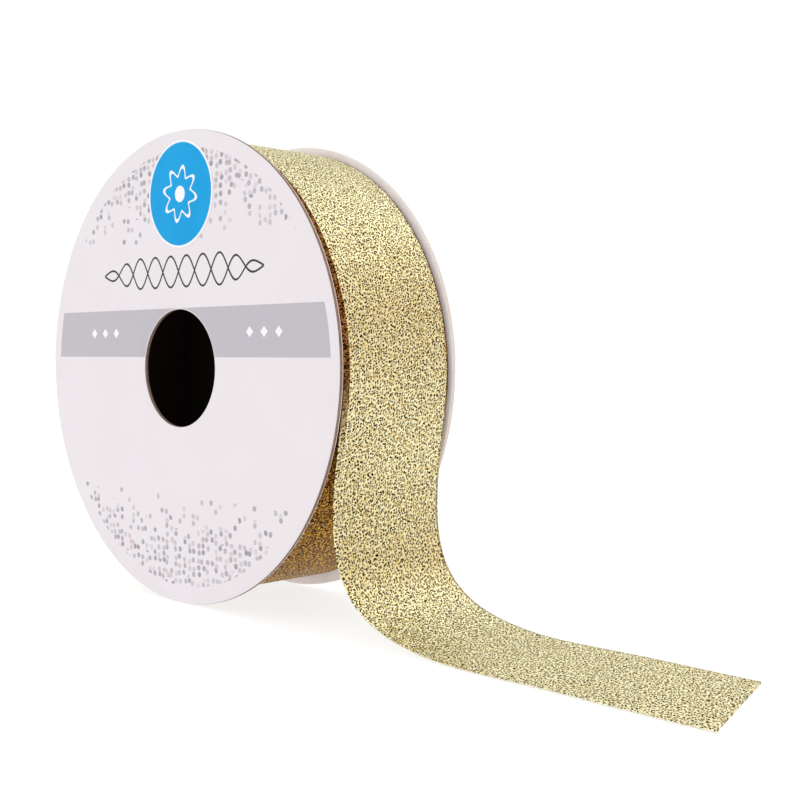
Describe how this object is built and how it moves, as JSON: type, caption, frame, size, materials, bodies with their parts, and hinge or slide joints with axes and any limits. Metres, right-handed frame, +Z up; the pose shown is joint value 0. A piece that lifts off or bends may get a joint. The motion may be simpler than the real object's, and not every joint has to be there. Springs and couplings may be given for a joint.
{
  "type": "ribbon spool",
  "caption": "Card spool with a hollow core and a peg hole, wound with metallic woven ribbon whose free end runs out on the table.",
  "frame": {"origin": "on the table at the middle of the whole box, spool and free ribbon together; the spool's axis is parallel to Y, 29.3 mm to the -X side and 38.1 mm up", "axes": "+Z up, +X towards the ribbon's free end, +Y along the spool's axis towards the rear disc"},
  "size_m": [0.1348, 0.0244, 0.0761],
  "materials": {
    "label": "satin white printed paper with a grey band and grey dots",
    "liner": "matte off-white paper",
    "board": "raw chipboard, brown grey, seen on the cut edges",
    "core": "raw brown board",
    "tape": "cream paper tape",
    "sticker": "glossy blue paper with a thin white edge",
    "ribbon": "gold metallic thread woven on a pale ground, glittering"
  },
  "bodies": {
    "free_ribbon": {"ribbon_tail": "ribbon", "ribbon_loose_turn": "ribbon"},
    "spool": {"front_label": "label", "front_board": "board", "front_liner": "liner", "rear_label": "label", "rear_board": "board", "rear_liner": "liner", "core_tube": "core", "start_tape": "tape", "round_sticker": "sticker", "ribbon_winding": "ribbon"}
  },
  "joints": [
    {"name": "spool_turn", "type": "hinge", "parent": "free_ribbon", "child": "spool", "pos_m": [-0.02931, 0.00004, 0.03806], "axis": [0, 1, 0], "continuous": true}
  ]
}
